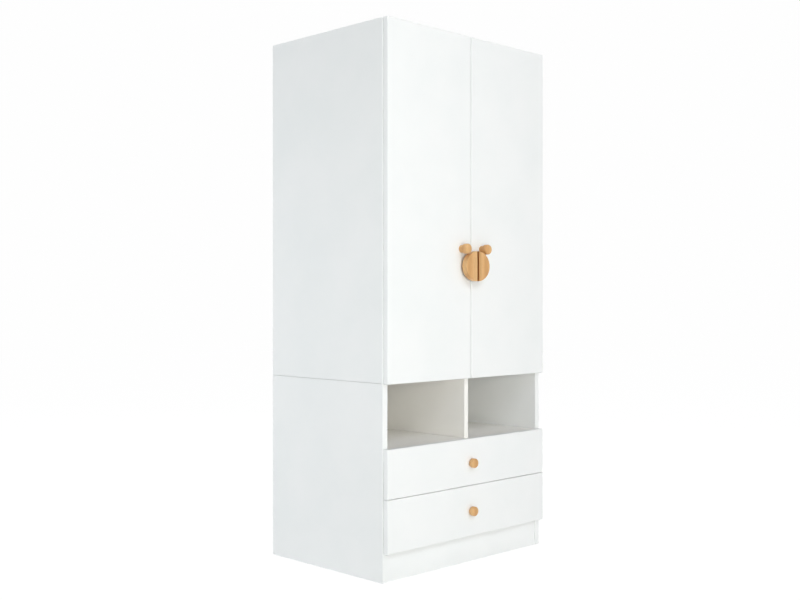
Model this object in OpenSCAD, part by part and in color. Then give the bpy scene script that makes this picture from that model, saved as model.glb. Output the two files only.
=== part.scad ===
// Wardrobe with two doors, two open cubbies and two drawers.
// Sizes are in millimetres: X to the right, Y to the back, Z up.
// The origin is on the floor, at the middle of the footprint with the pulls counted in.

/* [Overall] */
// Width over the side boards
total_w = 800; // [700:10:1000]
// Height from the floor to the top of the doors
total_h = 1800; // [1700:10:2000]
// Depth of the carcass without doors and pulls
carcass_d = 560; // [530:5:620]

/* [Boards] */
// Thickness of the side boards
side_t = 22; // [18:1:24]
// Thickness of the top, the floors, the shelf and the divider
board_t = 19; // [16:1:22]
// Thickness of the doors and drawer fronts
front_t = 18.5; // [16:0.5:22]
// Thickness of the back panels
back_t = 5; // [4:0.5:8]
// Width of the rebate that holds a back panel in each side
rebate_w = 10; // [8:0.5:12]

/* [Fronts] */
// Gap between the carcass and the back of a door or drawer front
front_gap = 2.6; // [2.4:0.1:4]
// Distance from the edge of a front to the outside of the carcass
reveal = 2.5; // [0.5:0.25:3]
// Gap between the two doors
door_slit = 3; // [1.5:0.5:5]
// Gap between the two drawer fronts
drawer_slit = 1.5; // [1.5:0.5:5]
// Rounding of the front edges of doors and drawer fronts
soft_r = 3; // [1:0.5:5]
// Length by which the doors reach below the upper floor
door_drop = 2; // [0:0.5:4]

/* [Lower module] */
// Height of the kick board's top above the floor
kick_h = 97; // [80:1:120]
// Distance from the front edge of the sides back to the kick board
kick_set = 3; // [2:1:40]
// Length by which the lower drawer front reaches below the lower floor
front_drop = 2; // [0:0.5:4]
// Height of the lower drawer front
lower_front_h = 172; // [165:0.5:200]
// Height of the upper drawer front
upper_front_h = 159.5; // [155:0.5:200]
// Step from the top of the drawer fronts down to the cubby floor
cubby_step = 1; // [0:0.5:2]
// Distance from the front edge of the sides back to the cubby divider
divider_set = 1.5; // [0:0.5:10]
// Clear height of the cubbies
cubby_h = 209; // [150:1:260]
// Thickness of the glides under the sides
glide_t = 1; // [1:0.5:5]
// Radius of a glide
glide_r = 8; // [6:0.5:9]

/* [Drawer boxes] */
// Thickness of the drawer sides and backs
box_t = 12; // [12:0.5:16]
// Thickness of the drawer bases
base_t = 5; // [3:0.5:6]
// Depth of the groove that holds a drawer base
groove_d = 6; // [4:0.5:8]
// Height of the drawer base above the lower edge of the box
base_lift = 10; // [8:1:14]
// Height of the lower drawer box
lower_box_h = 120; // [100:1:125]
// Height of the upper drawer box
upper_box_h = 110; // [90:1:118]
// Step from the lower edge of the lower front up to its box
lower_box_rise = 28; // [26:1:34]
// Step from the lower edge of the upper front up to its box
upper_box_rise = 12; // [8:1:16]

/* [Runners] */
// Length of a runner
runner_l = 500; // [450:10:560]
// Distance from the front of the carcass back to the runners
runner_set = 3; // [2:0.5:6]
// Least distance from the runners back to the rear of the carcass, which deepens for longer runners
runner_room = 25; // [20:1:27]
// Width of a runner, between the side and the drawer box
runner_w = 13; // [12.7:0.1:14]
// Height of a runner
runner_h = 45; // [44:0.5:48]
// Sheet thickness of the runner members
runner_sheet = 1.2; // [1:0.1:1.4]
// Travel of a drawer
slide_travel = 450; // [300:10:460]
// Diameter of the runner balls
ball_d = 3; // [2.5:0.1:3.5]
// Gap between a ball and each track
ball_clear = 0.15; // [0.1:0.05:0.2]

/* [Hinges] */
// Radius of a hinge cup
cup_r = 17.5; // [17:0.25:18]
// Depth of a hinge cup in the door
cup_d = 13; // [12.5:0.25:14]
// Wall of a hinge cup
cup_wall = 0.8; // [0.6:0.1:1]
// Distance from the door's edge to the cup
cup_edge = 3; // [3:0.25:3.5]
// Distance from the door's edge to the hinge pin
pin_in = 7; // [6.75:0.25:7.5]
// Depth of the hinge pin behind the door's back face
pin_deep = 9.5; // [9.25:0.25:9.75]
// Radius of a hinge pin
pin_r = 1.4; // [1.2:0.1:1.5]
// Running clearance between a pin and its arm
pin_clear = 0.06; // [0.03:0.01:0.1]
// Radius of the eye at the end of a hinge arm
eye_r = 2.2; // [2.1:0.1:2.4]
// Thickness of a hinge arm's shank
arm_t = 4; // [3:0.5:5]
// Thickness of a mounting plate
plate_t = 2.5; // [2:0.25:3]
// Distance from the ends of a door to its outer hinges
hinge_inset = 110; // [80:5:150]

/* [Pull and knobs] */
// Half width of the split pull, which is oval
pull_rx = 59.5; // [50:0.5:64]
// Half height of the split pull
pull_rz = 51; // [42:0.5:58]
// Gap between the halves of the pull
pull_split = 8.5; // [6:0.5:12]
// Thickness of the pull
pull_t = 19; // [15:0.5:24]
// Length of the feet that hold the pull off the doors
foot_l = 13; // [12:0.5:18]
// Height of the middle of the pull above the lower end of the doors
pull_z = 382.5; // [300:0.5:700]
// Radius of an ear knob
ear_r = 17; // [16:0.5:20]
// Distance of an ear knob from the middle of the wardrobe
ear_x = 51.7; // [50:0.1:60]
// Height of an ear knob above the middle of the pull
ear_up = 58; // [55:0.5:70]
// Length of an ear knob from the door's face
ear_l = 36.5; // [30:0.5:40]
// Radius of the stem of an ear knob
ear_stem_r = 13; // [8:0.5:14]
// Thickness of the cap of an ear knob
ear_cap_t = 19.5; // [10:0.5:24]
// Radius of a drawer knob
knob_r = 16; // [14:0.5:20]
// Length of a drawer knob from the front's face
knob_l = 21.5; // [18:0.5:28]
// Distance of the upper drawer's knob below the middle of its front
upper_knob_drop = 3; // [0:0.5:10]

/* [Inside] */
// Height of the hat shelf above the upper floor
shelf_up = 846; // [700:1:860]
// Distance from the front of the carcass back to the shelf
shelf_set = 75; // [70:1:120]
// Radius of the hanging rail
rail_r = 12.5; // [10:0.5:15]
// Wall of the hanging rail
rail_wall = 1.2; // [1:0.1:2]
// Distance from the shelf down to the middle of the hanging rail
rail_drop = 55; // [50:1:80]
// Height of the wall rail
wall_rail_h = 90; // [70:1:120]
// Distance between the two wall holes
wall_pitch = 560; // [400:10:580]
// Radius of the wall holes
wall_hole_r = 3; // [2.5:0.25:4]

/* [Hidden] */
$fn = 48;

// Colours as photographed
white = [0.95, 0.95, 0.94];
inner_white = [0.9, 0.9, 0.88];
beech = [0.9, 0.7, 0.5];
steel = [0.72, 0.73, 0.75];
birch = [0.85, 0.75, 0.6];
clear_grey = [0.8, 0.82, 0.83];

// Small values shared by the cutting modules
cut = 1;
fit = 0.05;
dowel_spare = 0.4;
bolt_spare = 0.3;
screw_spare = 0.5;
round_steps = 6;

// Depths, from the front of the pulls to the back panel
front_reach = max(foot_l + pull_t, ear_l, knob_l);
depth = max(carcass_d, runner_set + runner_l + runner_room);
yb = (depth + front_gap + front_t + front_reach) / 2;
yf = yb - depth;
y_back = yb - back_t;
y_rear = yf - front_gap;
y_face = y_rear - front_t;

// Widths
outer_x = total_w / 2;
inner_x = outer_x - side_t;
edge_x = outer_x - reveal;

// Heights: the underside of each level board, and the ends of the fronts
lower_floor_z = kick_h;
lower_front_z = kick_h - front_drop;
upper_front_z = lower_front_z + lower_front_h + drawer_slit;
lower_knob_z = lower_front_z + lower_front_h / 2;
upper_knob_z = upper_front_z + upper_front_h / 2 - upper_knob_drop;
cubby_floor_z = upper_front_z + upper_front_h - cubby_step - board_t;
seam_z = cubby_floor_z + board_t + cubby_h;
upper_floor_z = seam_z;
top_z = total_h - board_t;
door_z = seam_z - door_drop;
door_h = total_h - door_z;
door_w = edge_x - door_slit / 2;
shelf_z = upper_floor_z + board_t + shelf_up;
rail_z = shelf_z - rail_drop;
rail_y = (yf + y_back) / 2;
pull_mid = door_z + pull_z;

// Board joints: each board end has two cam fittings and two dowels
joint_inset = 60;
dowel_step = 50;
joint_ys = [yf + joint_inset, y_back - joint_inset];
dowel_ys = [yf + joint_inset + dowel_step, y_back - joint_inset - dowel_step];
level_zs = [lower_floor_z, cubby_floor_z, upper_floor_z, top_z];
cam_r = 7.5;
cam_h = 12.5;
cam_in = 34;
bolt_r = 3;
bolt_deep = 11;
bolt_bore_r = 3.4;
dowel_r = 4;
dowel_half = 11;
dowel_len = 30;
rail_rear_y = y_back - board_t / 2;
kick_mid_y = yf + kick_set + board_t / 2;
rear_kick_in = 60;
rear_kick_y = y_back - rear_kick_in;
wall_rail_mid = top_z - wall_rail_h / 2;
kick_dowel_z = (glide_t + kick_h) / 2;
end_dowels = [[kick_mid_y, kick_dowel_z], [rear_kick_y + board_t / 2, kick_dowel_z]];
seam_dowel_in = 80;
seam_dowel_ys = [yf + seam_dowel_in, y_back - seam_dowel_in];

// Hinges, in the left door's frame
pin_x = -(edge_x - pin_in);
pin_y = y_rear - pin_deep;
cup_x = -(edge_x - cup_edge - cup_r);
flange_t = 1;
flange_over = 1.1;
flange_r = cup_r + flange_over;
cup_screw_dx = 7;
cup_screw_dz = 24;
wing_half = 8;
wing_end = 6;
arm_half = 3;
bar_half = 1.5;
shank_half = 6;
arm_x = -inner_x + plate_t;
plate_set = 8;
plate_y = yf + plate_set;
plate_l = 44;
plate_half = 7;
plate_wing = 22;
plate_screw_set = 37;
plate_screw_y = yf + plate_screw_set;
plate_screw_dz = 16;
clamp_set = 22;
clamp_y = yf + clamp_set;
clamp_head_r = 3.5;
clamp_head_h = 1.5;
hinge_zs = [door_z + hinge_inset, door_z + door_h / 2, total_h - hinge_inset];

// Runner sections: half heights of the tracks, from the outside in
track_gap = ball_d + 2 * ball_clear;
rail_half = runner_h / 2;
mid_half = rail_half - runner_sheet - track_gap;
slide_half = mid_half - runner_sheet - track_gap;
web_gap = 1.4;
lip_gap = 2.5;
runner_y = yf + runner_set;
half_travel = slide_travel / 2;
cage_t = 1;
cage_w = 5;
balls = 8;
hole_step = 32;
first_hole = 37;
last_hole_room = 40;
hole_steps = floor((runner_l - first_hole - last_hole_room) / hole_step);
runner_screw_ys = [for (n = [0, floor(hole_steps / 2), hole_steps]) first_hole + n * hole_step];
slide_screw_in = 60;
slide_screw_stop = 2;
slide_screw_ys = [slide_screw_in, runner_l / 2, runner_l - slide_screw_in];
cage_room = 60;
cage_in = 20;
lower_box_z = lower_front_z + lower_box_rise;
upper_box_z = upper_front_z + upper_box_rise;
runner_lift = 50;
lower_runner_z = lower_box_z + runner_lift;
upper_runner_z = upper_box_z + runner_lift;
box_x = inner_x - runner_w;
box_end = runner_y + runner_l;

// Drawer fixings
box_cam_r = 6;
box_cam_h = 9;
box_cam_in = 24;
box_bolt_r = 2.2;
box_bolt_bore_r = 2.5;
box_bolt_deep = 10;

// Screws
wood_screw_r = 1.6;
wood_bore_r = wood_screw_r + fit;
wood_screw_l = 14;
pan_r = 3;
pan_h = 1;
sink_h = 1.8;
machine_r = 2;
machine_clear = 0.2;
machine_bore_r = machine_r + machine_clear;
machine_grip = 13;
machine_head_r = 4;
machine_head_h = 2.2;

// Pull
foot_x = 24;
foot_r = 8;
foot_screw_dz = 14;
pull_back_soft = 2.5;
pull_front_soft = 4;
ear_foot_soft = 3;
ear_back_soft = 2;
ear_front_soft = 6;

function arc(c, r, a0, a1) =
    [for (i = [0:round_steps]) c + r * [cos(a0 + (a1 - a0) * i / round_steps),
                                        sin(a0 + (a1 - a0) * i / round_steps)]];

// Section of a front: across, then into the depth, with both front corners rounded
function soft_section(w, t, r) = concat(
    arc([-w / 2 + r, r], r, 180, 270),
    arc([w / 2 - r, r], r, 270, 360),
    [[w / 2, t], [-w / 2, t]]);

// Half section of a turned head on a neck: radius, then height above the mounting face
function turned_section(head_r, neck_r, neck_l, l, back_soft, front_soft, foot_soft = 0) = concat(
    [[0, 0]],
    foot_soft > 0 ? arc([neck_r - foot_soft, foot_soft], foot_soft, -90, 0) : [[neck_r, 0]],
    [[neck_r, neck_l]],
    arc([head_r - back_soft, neck_l + back_soft], back_soft, -90, 0),
    arc([head_r - front_soft, l - front_soft], front_soft, 0, 90),
    [[0, l]]);

module both_sides() {
    children();
    mirror([1, 0, 0]) children();
}

module board(lo, hi) {
    translate(lo) cube(hi - lo);
}

// A rod along X from the first place to the second
module rod_x(x0, x1, y, z, r) {
    translate([x0, y, z]) rotate([0, 90, 0]) cylinder(r = r, h = x1 - x0);
}

// A rod along Y
module rod_y(x, y0, y1, z, r) {
    translate([x, y1, z]) rotate([90, 0, 0]) cylinder(r = r, h = y1 - y0);
}

// A rod along Z
module rod_z(x, y, z0, z1, r) {
    translate([x, y, z0]) cylinder(r = r, h = z1 - z0);
}

// A front board: its lower back edge is centred on the origin, and its rounded face looks to -Y
module soft_board(w, h) {
    translate([0, -front_t, 0]) intersection() {
        linear_extrude(h) polygon(soft_section(w, front_t, soft_r));
        translate([-w / 2, 0, h / 2]) rotate([90, 0, 90]) linear_extrude(w)
            polygon([for (p = soft_section(h, front_t, soft_r)) [p[1], p[0]]]);
    }
}

// Board joints at the left side
module cam_places(zs) {
    for (z = zs, y = joint_ys) translate([-inner_x + cam_in, y, z]) children();
}

module cam_pocket(r, h) {
    translate([0, 0, -cut]) cylinder(r = r + fit, h = h + fit + cut);
}

module dowels_x(list, spare) {
    for (p = list) rod_x(-inner_x - dowel_half - spare, -inner_x - dowel_half + dowel_len + spare,
                         p[0], p[1], dowel_r + (spare > 0 ? fit : 0));
}

function level_dowels(z) = [for (y = dowel_ys) [y, z + board_t / 2]];

module level_side_holes(z) {
    for (y = joint_ys)
        rod_x(-inner_x - bolt_deep, -inner_x + cut, y, z + board_t / 2, bolt_r + fit);
    dowels_x(level_dowels(z), dowel_spare);
}

// A level board between the sides, with its cam pockets, bolt bores and dowel holes
module level_board(z, front, back) {
    difference() {
        board([-inner_x, front, z], [inner_x, back, z + board_t]);
        both_sides() {
            cam_places([z]) {
                cam_pocket(cam_r, cam_h);
                translate([-cam_in - cut, 0, board_t / 2]) rotate([0, 90, 0])
                    cylinder(r = bolt_bore_r, h = cam_in + cut);
            }
            dowels_x(level_dowels(z), dowel_spare);
        }
    }
}

// Vertical dowels between the lower and upper sides, and under the divider
module seam_dowels(spare) {
    for (y = seam_dowel_ys)
        rod_z(-(outer_x + inner_x) / 2, y, seam_z - dowel_len / 2 - spare, seam_z + dowel_len / 2 + spare,
              dowel_r + (spare > 0 ? fit : 0));
}

module divider_dowels(spare) {
    for (y = seam_dowel_ys)
        rod_z(0, y, cubby_floor_z + board_t - dowel_half - spare,
              cubby_floor_z + board_t - dowel_half + dowel_len + spare, dowel_r + (spare > 0 ? fit : 0));
}

module wall_rail_dowels(spare) {
    dowels_x([[rail_rear_y, wall_rail_mid]], spare);
}

// Countersunk back screws: a list of places in X and Z
back_inset = 40;
back_screw_x = 250;
function back_points(z0, z1, zs, rows) = concat(
    [for (s = [-1, 1], i = [0:rows])
        [s * (inner_x + rebate_w / 2), z0 + back_inset + i * (z1 - z0 - 2 * back_inset) / rows]],
    [for (s = [-1, 0, 1], z = zs) [s * back_screw_x, z + board_t / 2]]);
upper_back_points = back_points(seam_z, total_h, [upper_floor_z, top_z], 4);
lower_back_points = back_points(glide_t, seam_z, [lower_floor_z, cubby_floor_z], 2);

module back_screw(p, spare) {
    translate([p[0], yb - spare, p[1]]) rotate([90, 0, 0]) {
        translate([0, 0, -spare * 2])
            cylinder(r1 = pan_r + spare, r2 = wood_screw_r + spare, h = sink_h + spare * 2);
        cylinder(r = wood_screw_r + spare, h = wood_screw_l + spare * 4);
    }
}

module back_screws(points, spare) {
    for (p = points) back_screw(p, spare);
}

// Screws that hold the modules together, from the upper floor down into the divider
module_screw_in = 120;
module_screw_l = 45;
module_screw_r = 2.2;

module module_screws(spare) {
    for (y = [yf + module_screw_in, rail_y, y_back - module_screw_in])
        translate([0, y, upper_floor_z + board_t]) mirror([0, 0, 1]) {
            translate([0, 0, -spare])
                cylinder(r1 = 2 * module_screw_r + spare, r2 = module_screw_r + spare,
                         h = module_screw_r + spare);
            cylinder(r = module_screw_r + spare, h = module_screw_l + spare * 4);
        }
}

// Wood screw along +X into the left side, its head on a sheet of the given thickness
module side_screw(y, z, sheet, spare) {
    translate([-inner_x + sheet, y, z]) rotate([0, -90, 0]) {
        cylinder(r = wood_screw_r + spare, h = wood_screw_l + sheet + spare * 4);
        if (spare == 0) translate([0, 0, -pan_h]) cylinder(r = pan_r, h = pan_h);
    }
}

module runner_screws(spare) {
    for (z = [lower_runner_z, upper_runner_z], y = runner_screw_ys)
        side_screw(runner_y + y, z, runner_sheet, spare);
}

module hinge_plate_screws(spare) {
    for (z = hinge_zs, s = [-1, 1]) side_screw(plate_screw_y, z + s * plate_screw_dz, plate_t, spare);
}

socket_t = 3;
socket_l = 12;
socket_wall = 3;
socket_flange = 32;
socket_half = 10;
socket_screw_dz = 23;

module socket_screws(spare) {
    for (s = [-1, 1]) side_screw(rail_y, rail_z + s * socket_screw_dz, socket_t, spare);
}

pin_len = 16;
shelf_pin_r = 2.5;
shelf_pin_front = 40;
shelf_pin_rear = 50;
shelf_pin_ys = [yf + shelf_set + shelf_pin_front, y_back - shelf_pin_rear];

module shelf_pin_row(spare) {
    for (y = shelf_pin_ys)
        rod_x(-inner_x - pin_len / 2 - spare, -inner_x + pin_len / 2, y,
              shelf_z - shelf_pin_r - fit, shelf_pin_r + spare);
}

// Carcass boards
module upper_side() {
    color(white) difference() {
        board([-outer_x, yf, seam_z], [-inner_x, yb, total_h]);
        board([-inner_x - rebate_w, y_back, seam_z - cut], [-inner_x + cut, yb + cut, total_h + cut]);
        level_side_holes(upper_floor_z);
        level_side_holes(top_z);
        wall_rail_dowels(dowel_spare);
        seam_dowels(dowel_spare);
        hinge_plate_screws(fit);
        socket_screws(fit);
        shelf_pin_row(fit);
        back_screws([for (p = upper_back_points) if (p[0] < -inner_x) p], fit);
    }
}

module lower_side() {
    color(white) difference() {
        board([-outer_x, yf, glide_t], [-inner_x, yb, seam_z]);
        board([-inner_x - rebate_w, y_back, glide_t - cut], [-inner_x + cut, yb + cut, seam_z + cut]);
        level_side_holes(lower_floor_z);
        level_side_holes(cubby_floor_z);
        dowels_x(end_dowels, dowel_spare);
        seam_dowels(dowel_spare);
        runner_screws(fit);
        back_screws([for (p = lower_back_points) if (p[0] < -inner_x) p], fit);
    }
}

module upper_left_side() { upper_side(); }
module upper_right_side() { mirror([1, 0, 0]) upper_side(); }
module lower_left_side() { lower_side(); }
module lower_right_side() { mirror([1, 0, 0]) lower_side(); }

module top_panel() {
    color(white) difference() {
        level_board(top_z, yf, y_back);
        back_screws([for (p = upper_back_points) if (abs(p[0]) < inner_x) p], fit);
    }
}

module upper_floor() {
    color(white) difference() {
        level_board(upper_floor_z, yf, y_back);
        back_screws([for (p = upper_back_points) if (abs(p[0]) < inner_x) p], fit);
        module_screws(fit);
    }
}

module cubby_floor() {
    color(white) difference() {
        level_board(cubby_floor_z, yf, y_back);
        back_screws([for (p = lower_back_points) if (abs(p[0]) < inner_x) p], fit);
        divider_dowels(dowel_spare);
    }
}

module lower_floor() {
    color(white) difference() {
        level_board(lower_floor_z, yf, y_back);
        back_screws([for (p = lower_back_points) if (abs(p[0]) < inner_x) p], fit);
    }
}

module cubby_divider() {
    color(white) difference() {
        board([-board_t / 2, yf + divider_set, cubby_floor_z + board_t], [board_t / 2, y_back, seam_z]);
        divider_dowels(dowel_spare);
        module_screws(fit);
    }
}

panel_clear = 0.3;

module back_board(z0, z1, points) {
    half = inner_x + rebate_w - panel_clear;
    difference() {
        board([-half, y_back, z0], [half, yb, z1]);
        back_screws(points, fit);
    }
}

module wall_holes() {
    for (s = [-1, 1]) rod_y(s * wall_pitch / 2, y_back - board_t - cut, yb + cut, wall_rail_mid, wall_hole_r);
}

module upper_back() {
    color(white) difference() {
        back_board(seam_z, total_h, upper_back_points);
        wall_holes();
    }
}

module lower_back() {
    color(white) back_board(glide_t, seam_z, lower_back_points);
}

module wall_rail() {
    color(white) difference() {
        board([-inner_x, y_back - board_t, top_z - wall_rail_h], [inner_x, y_back, top_z]);
        both_sides() wall_rail_dowels(dowel_spare);
        wall_holes();
    }
}

module kick_board() {
    color(white) difference() {
        board([-inner_x, yf + kick_set, glide_t], [inner_x, yf + kick_set + board_t, kick_h]);
        both_sides() dowels_x([end_dowels[0]], dowel_spare);
    }
}

module rear_kick_rail() {
    color(white) difference() {
        board([-inner_x, rear_kick_y, glide_t], [inner_x, rear_kick_y + board_t, kick_h]);
        both_sides() dowels_x([end_dowels[1]], dowel_spare);
    }
}

shelf_clear = 1;

module hat_shelf() {
    half = inner_x - shelf_clear;
    color(white) board([-half, yf + shelf_set, shelf_z], [half, y_back - shelf_clear, shelf_z + board_t]);
}

module shelf_pins() {
    color(steel) both_sides() shelf_pin_row(0);
}

module hanging_rail() {
    color(steel) difference() {
        rod_x(-inner_x + socket_t, inner_x - socket_t, rail_y, rail_z, rail_r);
        rod_x(-inner_x, inner_x, rail_y, rail_z, rail_r - rail_wall);
    }
}

module rail_socket() {
    difference() {
        union() {
            rod_x(-inner_x, -inner_x + socket_l, rail_y, rail_z, rail_r + socket_wall);
            board([-inner_x, rail_y - socket_half, rail_z - socket_flange],
                  [-inner_x + socket_t, rail_y + socket_half, rail_z + socket_flange]);
        }
        rod_x(-inner_x + socket_t, -inner_x + socket_l + cut, rail_y, rail_z, rail_r + fit * 2);
        socket_screws(fit);
    }
}

module rail_sockets() {
    color(steel) both_sides() rail_socket();
}

glide_in = 40;

module floor_glides() {
    color(clear_grey) both_sides() for (y = [yf + glide_in, rail_y, y_back - glide_in])
        rod_z(-(outer_x + inner_x) / 2, y, 0, glide_t, glide_r);
}

// Soft dots on the carcass that the fronts close against
buffer_r = 4;
buffer_clear = 0.3;
buffer_in = 20;
buffer_up = 30;

module front_buffer(x, z) {
    rod_y(x, y_rear + buffer_clear, yf, z, buffer_r);
}

module front_buffers() {
    color(clear_grey) both_sides() {
        for (z = [upper_floor_z + board_t / 2, top_z + board_t / 2]) front_buffer(-buffer_in, z);
        for (z = [lower_front_z + buffer_up, upper_front_z + buffer_up])
            front_buffer(-(outer_x + inner_x) / 2, z);
    }
}

// Fixings of the carcass
module dowels() {
    color(birch) {
        both_sides() {
            for (z = level_zs) dowels_x(level_dowels(z), 0);
            dowels_x(end_dowels, 0);
            wall_rail_dowels(0);
            seam_dowels(0);
        }
        divider_dowels(0);
    }
}

cam_slot_share = 0.6;
cam_slot_half = 0.7;
cam_slot_deep = 1.5;
bolt_stop = 1;

// A cam lock: a short drum with a bore for the bolt's head towards -X and a slot in its open face
module cam_lock(r, h, bolt_z, bore_r) {
    difference() {
        cylinder(r = r, h = h);
        translate([-r - cut, 0, bolt_z]) rotate([0, 90, 0]) cylinder(r = bore_r, h = r + cut);
        translate([-r * cam_slot_share, -cam_slot_half, -cut])
            cube([2 * r * cam_slot_share, 2 * cam_slot_half, cut + cam_slot_deep]);
    }
}

module cam_locks() {
    color(steel) both_sides() cam_places(level_zs) cam_lock(cam_r, cam_h, board_t / 2, bolt_bore_r);
}

module cam_bolts() {
    color(steel) both_sides() for (z = level_zs, y = joint_ys)
        rod_x(-inner_x - bolt_deep, -inner_x + cam_in - bolt_stop, y, z + board_t / 2, bolt_r);
}

module carcass_screws() {
    color(steel) {
        both_sides() {
            runner_screws(0);
            hinge_plate_screws(0);
            socket_screws(0);
            for (z = hinge_zs) clamp_screw(z, 0);
        }
        back_screws(upper_back_points, 0);
        back_screws(lower_back_points, 0);
        module_screws(0);
    }
}

// Hinges at the left side
module clamp_screw(z, spare) {
    rod_x(-inner_x, arm_x + arm_t, clamp_y, z, machine_r + spare);
    if (spare == 0) rod_x(arm_x + arm_t, arm_x + arm_t + clamp_head_h, clamp_y, z, clamp_head_r);
}

module hinge_plate(z) {
    difference() {
        union() {
            board([-inner_x, plate_y, z - plate_half], [arm_x, plate_y + plate_l, z + plate_half]);
            board([-inner_x, plate_screw_y - plate_half, z - plate_wing],
                  [arm_x, plate_screw_y + plate_half, z + plate_wing]);
        }
        for (s = [-1, 1]) side_screw(plate_screw_y, z + s * plate_screw_dz, plate_t, fit);
        rod_x(-inner_x - cut, arm_x + cut, clamp_y, z, machine_r + fit);
    }
}

module hinge_plates() {
    color(steel) both_sides() for (z = hinge_zs) hinge_plate(z);
}

// An arm: an eye on the pin, a bar across the cup and a shank back over the plate
module hinge_arm(z) {
    difference() {
        union() {
            rod_z(pin_x, pin_y, z - arm_half, z + arm_half, eye_r);
            board([pin_x, pin_y - bar_half, z - arm_half], [arm_x + arm_t, pin_y + bar_half, z + arm_half]);
            board([arm_x, pin_y - bar_half, z - shank_half],
                  [arm_x + arm_t, plate_y + plate_l, z + shank_half]);
        }
        rod_z(pin_x, pin_y, z - arm_half - cut, z + arm_half + cut, pin_r + pin_clear);
        rod_x(arm_x - cut, arm_x + arm_t + cut, clamp_y, z, machine_r + fit);
    }
}

module hinge_arms() {
    color(steel) both_sides() for (z = hinge_zs) hinge_arm(z);
}

module cup_screws(z, spare) {
    for (s = [-1, 1])
        translate([cup_x + cup_screw_dx, y_rear + flange_t, z + s * cup_screw_dz]) rotate([90, 0, 0]) {
            cylinder(r = wood_screw_r + spare, h = wood_screw_l + spare * 4);
            if (spare == 0) translate([0, 0, -pan_h]) cylinder(r = pan_r, h = pan_h);
        }
}

module hinge_cup(z) {
    difference() {
        union() {
            rod_y(cup_x, y_rear - cup_d, y_rear + flange_t, z, cup_r);
            rod_y(cup_x, y_rear, y_rear + flange_t, z, flange_r);
            board([cup_x + cup_screw_dx - wing_half, y_rear, z - cup_screw_dz - wing_end],
                  [cup_x + cup_screw_dx + wing_half, y_rear + flange_t, z + cup_screw_dz + wing_end]);
        }
        rod_y(cup_x, y_rear - cup_d + cup_wall, y_rear + flange_t + cut, z, cup_r - cup_wall);
        rod_z(pin_x, pin_y, z - cup_r, z + cup_r, pin_r + fit);
        cup_screws(z, fit);
    }
}

// The pin's ends are flush with the outside of the cup
module hinge_pin(z) {
    intersection() {
        rod_z(pin_x, pin_y, z - cup_r, z + cup_r, pin_r);
        rod_y(cup_x, y_rear - cup_d, y_rear, z, cup_r);
    }
}

// Doors
module door_machine_screws(spare) {
    for (s = [-1, 1]) machine_screw(-foot_x, pull_mid + s * foot_screw_dz, foot_l + machine_grip, spare);
    machine_screw(-ear_x, pull_mid + ear_up, machine_grip, spare);
}

// A screw from the back of a front into the wood ahead of it
module machine_screw(x, z, reach, spare) {
    rod_y(x, y_face - reach - spare, y_rear + (spare > 0 ? cut : 0), z,
          spare > 0 ? machine_bore_r : machine_r);
    if (spare == 0) rod_y(x, y_rear, y_rear + machine_head_h, z, machine_head_r);
}

module door() {
    color(white) difference() {
        translate([-(edge_x + door_slit / 2) / 2, y_rear, door_z]) soft_board(door_w, door_h);
        for (z = hinge_zs) {
            rod_y(cup_x, y_rear - cup_d - fit, y_rear + cut, z, cup_r + fit);
            cup_screws(z, fit);
        }
        door_machine_screws(screw_spare);
    }
}

function pull_section() = concat(
    [[0, 0]],
    arc([pull_rz - pull_back_soft, pull_back_soft], pull_back_soft, -90, 0),
    arc([pull_rz - pull_front_soft, pull_t - pull_front_soft], pull_front_soft, 0, 90),
    [[0, pull_t]]);

module pull_half() {
    color(beech) difference() {
        translate([0, y_face - foot_l, pull_mid]) rotate([90, 0, 0]) intersection() {
            scale([pull_rx / pull_rz, 1, 1]) rotate_extrude($fn = 72) polygon(pull_section());
            translate([-pull_rx - cut, -pull_rz - cut, -cut])
                cube([pull_rx + cut - pull_split / 2, 2 * (pull_rz + cut), pull_t + 2 * cut]);
        }
        door_machine_screws(screw_spare);
    }
}

module pull_foot() {
    color(beech) difference() {
        union() {
            for (s = [-1, 1]) rod_y(-foot_x, y_face - foot_l, y_face, pull_mid + s * foot_screw_dz, foot_r);
            board([-foot_x - foot_r, y_face - foot_l, pull_mid - foot_screw_dz],
                  [-foot_x + foot_r, y_face, pull_mid + foot_screw_dz]);
        }
        door_machine_screws(screw_spare);
    }
}

module ear_knob() {
    color(beech) difference() {
        translate([-ear_x, y_face, pull_mid + ear_up]) rotate([90, 0, 0]) rotate_extrude()
            polygon(turned_section(ear_r, ear_stem_r, ear_l - ear_cap_t, ear_l, ear_back_soft, ear_front_soft,
                                   ear_foot_soft));
        door_machine_screws(screw_spare);
    }
}

module door_screws() {
    color(steel) {
        for (z = hinge_zs) cup_screws(z, 0);
        door_machine_screws(0);
    }
}

module left_door() { door(); }
module left_hinge_cups() { color(steel) for (z = hinge_zs) hinge_cup(z); }
module left_hinge_pins() { color(steel) for (z = hinge_zs) hinge_pin(z); }
module left_pull() { pull_half(); }
module left_pull_foot() { pull_foot(); }
module left_ear_knob() { ear_knob(); }
module left_door_screws() { door_screws(); }
module right_door() { mirror([1, 0, 0]) left_door(); }
module right_hinge_cups() { mirror([1, 0, 0]) left_hinge_cups(); }
module right_hinge_pins() { mirror([1, 0, 0]) left_hinge_pins(); }
module right_pull() { mirror([1, 0, 0]) left_pull(); }
module right_pull_foot() { mirror([1, 0, 0]) left_pull_foot(); }
module right_ear_knob() { mirror([1, 0, 0]) left_ear_knob(); }
module right_door_screws() { mirror([1, 0, 0]) left_door_screws(); }

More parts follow.
